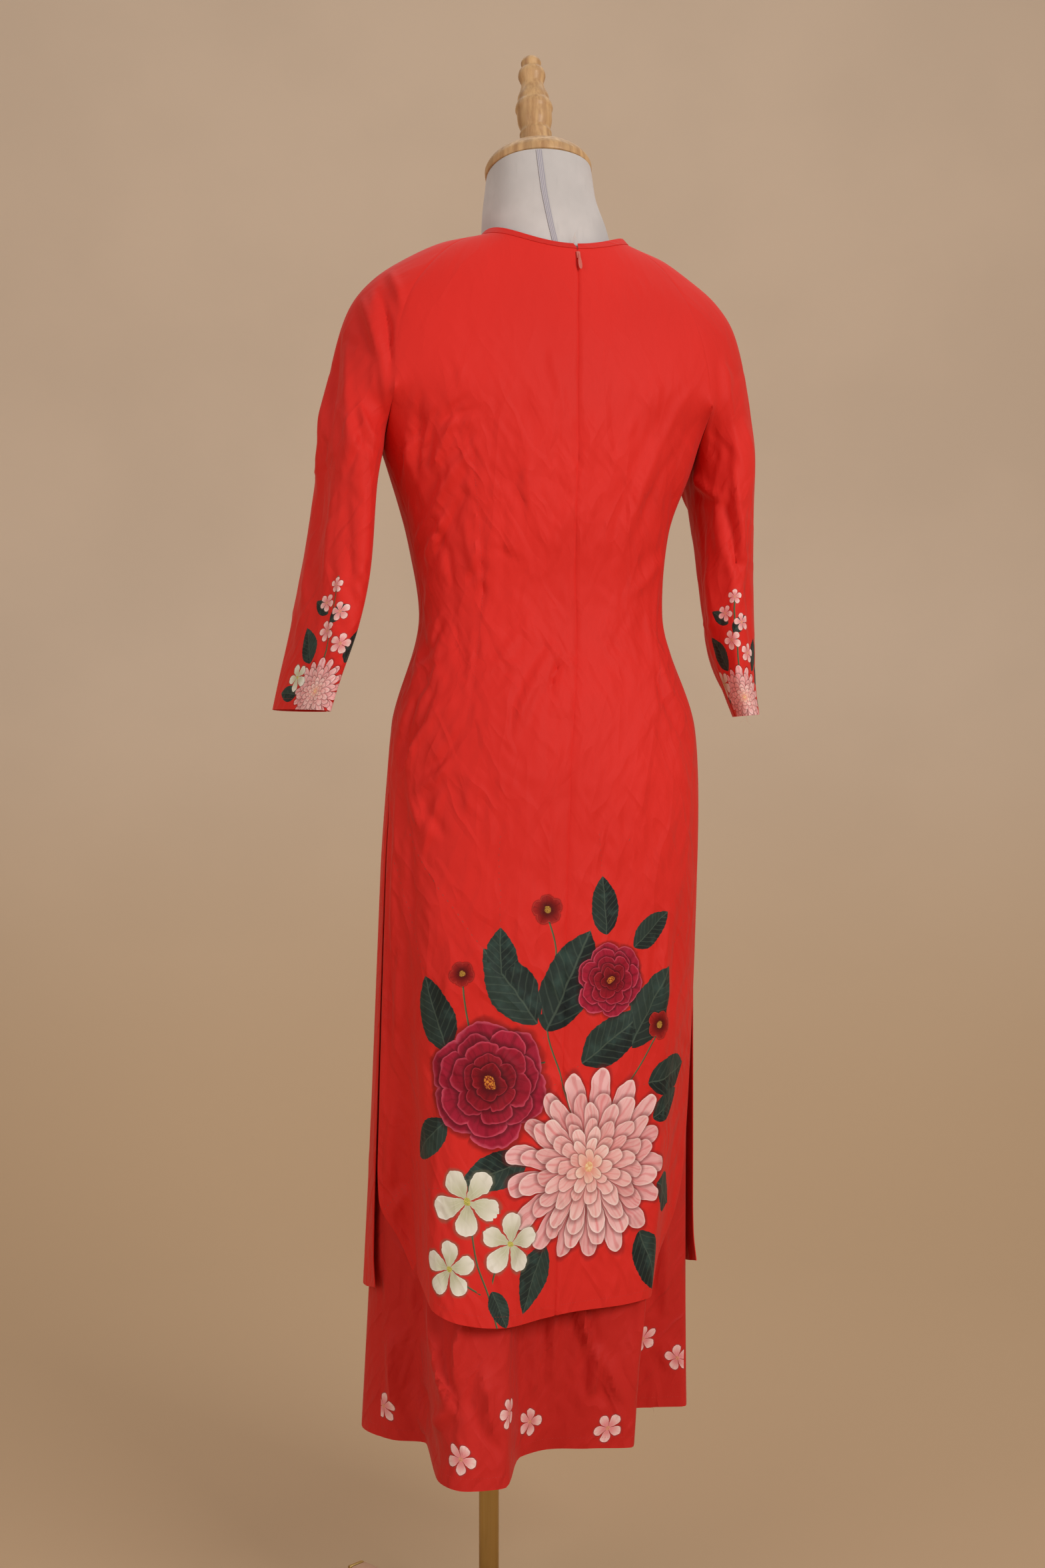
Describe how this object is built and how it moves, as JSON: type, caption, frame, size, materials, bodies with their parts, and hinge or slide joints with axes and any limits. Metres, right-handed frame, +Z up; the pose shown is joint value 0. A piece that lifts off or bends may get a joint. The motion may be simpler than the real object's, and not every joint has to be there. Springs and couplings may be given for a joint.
{
  "type": "ao dai on a dress form",
  "caption": "Long printed tunic with raglan sleeves and side slits over a long skirt, worn by a limbless dress form on a tripod stand.",
  "frame": {"origin": "on the floor, in the middle of the footprint of the whole", "axes": "+Z up, the garment's front faces -Y and its back +Y, the wearer's left side is +X"},
  "size_m": [0.5648, 0.4008, 1.7725],
  "materials": {
    "tunic_cloth": "smooth plain weave with a soft sheen, coral red",
    "skirt_cloth": "the same cloth, a little darker",
    "form_cover": "pale grey linen cover",
    "honey_wood": "glossy varnish over a visible grain",
    "leg_wood": "satin varnish",
    "brass": "brushed, a little tarnished",
    "zip_metal": "enamelled in a colour near the cloth"
  },
  "bodies": {
    "garment_and_stand": {"back_left": "tunic_cloth", "back_right": "tunic_cloth", "front": "tunic_cloth", "sleeve_left": "tunic_cloth", "sleeve_right": "tunic_cloth", "neck_band": "tunic_cloth", "skirt_back": "skirt_cloth", "skirt_front": "skirt_cloth", "waistband": "skirt_cloth", "form_torso": "form_cover", "neck_cap": "honey_wood", "finial": "honey_wood", "pole": "brass", "hub": "brass", "leg_1": "leg_wood", "leg_2": "leg_wood", "leg_3": "leg_wood", "zip_slider": "zip_metal"},
    "zip_pull_tab": {"zip_pull": "zip_metal"}
  },
  "joints": [
    {"name": "zip_pull_swing", "type": "hinge", "parent": "garment_and_stand", "child": "zip_pull_tab", "pos_m": [-0.03512, 0.0748, 1.52423], "axis": [1, 0, 0], "range_deg": [0, 150]}
  ]
}
